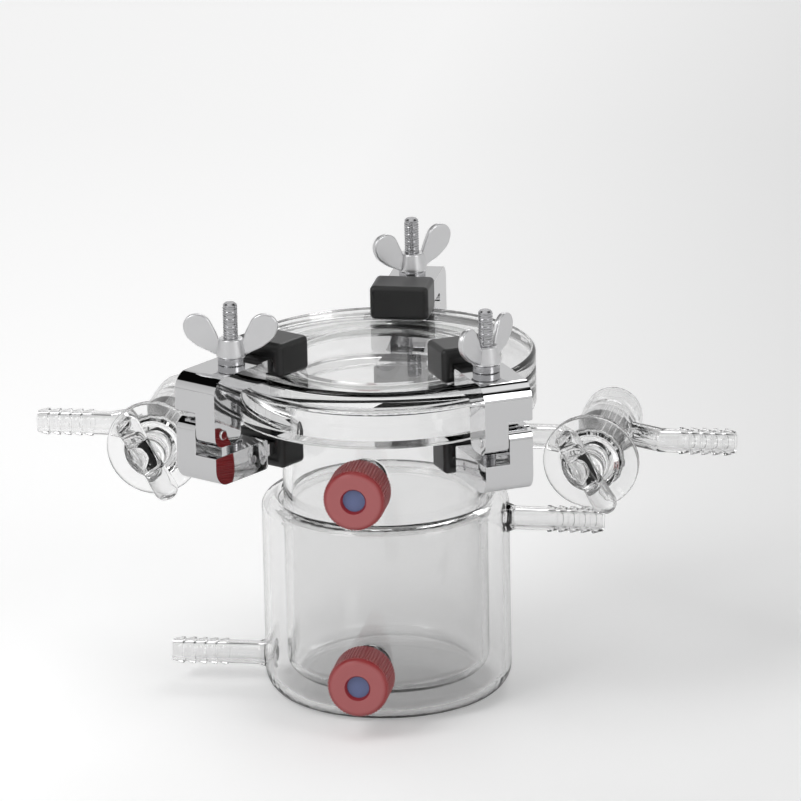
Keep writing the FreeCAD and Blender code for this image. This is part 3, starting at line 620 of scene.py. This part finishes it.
SHOE_SHARP_DEG = 40
for clamp in CLAMPS:
    for level in ("upper", "lower"):
        shoe = welded_copy(f"{clamp}_{level}_pad", f"{clamp}_{level}_shoe", SHOE_SHARP_DEG)
        finish_mesh(shoe, nitrile, "reactor", f"{clamp}_{level}_pad")

# Studio: a pale paper floor, and a pale room whose white ceiling has a black band round it, so
# that glass and chromium have something dark to show. Three soft boxes give the light.

# how much brighter the paper looks than it is lit, and the places in metres between which that changes
PAPER_LIFT_LEFT, PAPER_LIFT_RIGHT, LEFT, RIGHT = 0.26, 0.03, -0.15, 0.15
PAPER_LIFT_NEAR, PAPER_LIFT_FAR, NEAR, FAR = 0.08, -0.04, -0.15, 0.85
# background paper, matt and without grain at this distance
floor_material, tree = new_material("pale_paper_floor")
paper = add_node(tree, "ShaderNodeBsdfDiffuse", values={"Color": linear("#f4f4f4")})
# the camera and the glass see the paper overexposed, more on the left, as the photograph does
spot = add_node(tree, "ShaderNodeTexCoord")
across = add_node(tree, "ShaderNodeSeparateXYZ", {"Vector": spot.outputs["Object"]})
sideways = add_node(tree, "ShaderNodeMapRange", {"Value": across.outputs["X"]},
                    {"From Min": LEFT, "From Max": RIGHT, "To Min": PAPER_LIFT_LEFT,
                     "To Max": PAPER_LIFT_RIGHT})
inwards = add_node(tree, "ShaderNodeMapRange", {"Value": across.outputs["Y"]},
                   {"From Min": NEAR, "From Max": FAR, "To Min": PAPER_LIFT_NEAR,
                    "To Max": PAPER_LIFT_FAR})
lift = add_node(tree, "ShaderNodeMath", {0: sideways.outputs[0], 1: inwards.outputs[0]}, operation="ADD")
rays = add_node(tree, "ShaderNodeLightPath")
seen = add_node(tree, "ShaderNodeMath", {0: rays.outputs["Is Camera Ray"],
                                         1: rays.outputs["Is Transmission Ray"]}, operation="MAXIMUM")
strength = add_node(tree, "ShaderNodeMath", {0: seen.outputs[0], 1: lift.outputs[0]}, operation="MULTIPLY")
glow = add_node(tree, "ShaderNodeEmission", {"Strength": strength.outputs[0]})
lifted = add_node(tree, "ShaderNodeAddShader", {0: paper.outputs[0], 1: glow.outputs[0]})
surface(tree, lifted)
floor_mesh = bpy.data.meshes.new("floor")
EXTENT, FLOOR_DROP = 12.0, 0.0002
floor_mesh.from_pydata([(-EXTENT, -EXTENT, 0), (EXTENT, -EXTENT, 0), (EXTENT, EXTENT, 0),
                        (-EXTENT, EXTENT, 0)], [], [(0, 1, 2, 3)])
floor_mesh.materials.append(floor_material)
floor = new_piece("floor", floor_mesh)
floor.location.z = -FLOOR_DROP

world = bpy.data.worlds.new("studio")
bpy.context.scene.world = world
world.use_nodes = True
tree = world.node_tree
tree.nodes.clear()
direction = add_node(tree, "ShaderNodeTexCoord")
parts = add_node(tree, "ShaderNodeSeparateXYZ", {"Vector": direction.outputs["Generated"]})
bands = add_node(tree, "ShaderNodeValToRGB", {"Fac": parts.outputs["Z"]})
ramp = bands.color_ramp
ramp.interpolation = "LINEAR"
# shades of the room from the horizon, 0, to straight above, 1
ROOM = [(0.0, "#e4e4e4"), (0.30, "#dadada"), (0.58, "#cfcfcf"), (0.61, "#0a0a0a"), (0.86, "#0a0a0a"),
        (0.89, "#ffffff")]
while len(ramp.elements) < len(ROOM):
    ramp.elements.new(1.0)
for element, (spot, shade) in zip(ramp.elements, ROOM):
    element.position = spot
    element.color = linear(shade)
room = add_node(tree, "ShaderNodeBackground", {"Color": bands.outputs["Color"]}, {"Strength": 1.0})
pale = add_node(tree, "ShaderNodeBackground", values={"Color": linear("#f2f2f2"), "Strength": 1.0})
# the camera sees an even pale wall, and the pieces see the room
rays = add_node(tree, "ShaderNodeLightPath")
either = add_node(tree, "ShaderNodeMixShader",
                  {0: rays.outputs["Is Camera Ray"], 1: room.outputs[0], 2: pale.outputs[0]})
add_node(tree, "ShaderNodeOutputWorld", {"Surface": either.outputs[0]})


def soft_box(name, spot, aim, size, watts):
    light = bpy.data.lights.new(name, "AREA")
    light.shape = "RECTANGLE"
    light.size, light.size_y = size
    light.energy = watts
    obj = bpy.data.objects.new(name, light)
    bpy.context.scene.collection.objects.link(obj)
    obj.location = spot
    obj.rotation_euler = (Vector(aim) - Vector(spot)).to_track_quat("-Z", "Y").to_euler()
    obj.visible_camera = False


# place, aim and size in metres, power in watts
MIDDLE = (0, 0, 0.08)
soft_box("key_box", (-1.3, -1.5, 2.0), MIDDLE, (1.2, 1.2), 22)
soft_box("fill_box", (1.9, -1.2, 1.3), MIDDLE, (0.8, 1.4), 10)
soft_box("back_box", (0.3, 2.2, 1.8), MIDDLE, (1.6, 0.6), 10)

# Camera: the photograph's own standpoint, found from the lid's ellipse and the stud tops.
# It stands far off with a long lens, so that upright lines stay nearly parallel.

AZIMUTH, ELEVATION, ROLL = math.radians(10), math.radians(17), math.radians(-1.2)
DISTANCE, AIM_RIGHT, AIM_DOWN = 3.32, 0.00692, 0.0208
LENS, SENSOR, CLIP_END = 373, 36, 60
right = Vector((math.cos(AZIMUTH), math.sin(AZIMUTH), 0))
back = Vector((math.sin(AZIMUTH) * math.cos(ELEVATION), -math.cos(AZIMUTH) * math.cos(ELEVATION),
               math.sin(ELEVATION)))
up = back.cross(right)
aim = Vector((0, 0, LID_TOP / 1000)) + right * AIM_RIGHT - up * AIM_DOWN
camera = bpy.data.objects.new("camera", bpy.data.cameras.new("camera"))
bpy.context.scene.collection.objects.link(camera)
camera.data.sensor_width = SENSOR
camera.data.lens = LENS
camera.data.clip_end = CLIP_END
turn = Matrix((right, up, back)).transposed().to_4x4()
camera.matrix_world = Matrix.Translation(aim + back * DISTANCE) @ turn @ Matrix.Rotation(ROLL, 4, "Z")
bpy.context.scene.camera = camera
bpy.context.scene.view_settings.view_transform = "Standard"

bpy.context.view_layer.update()
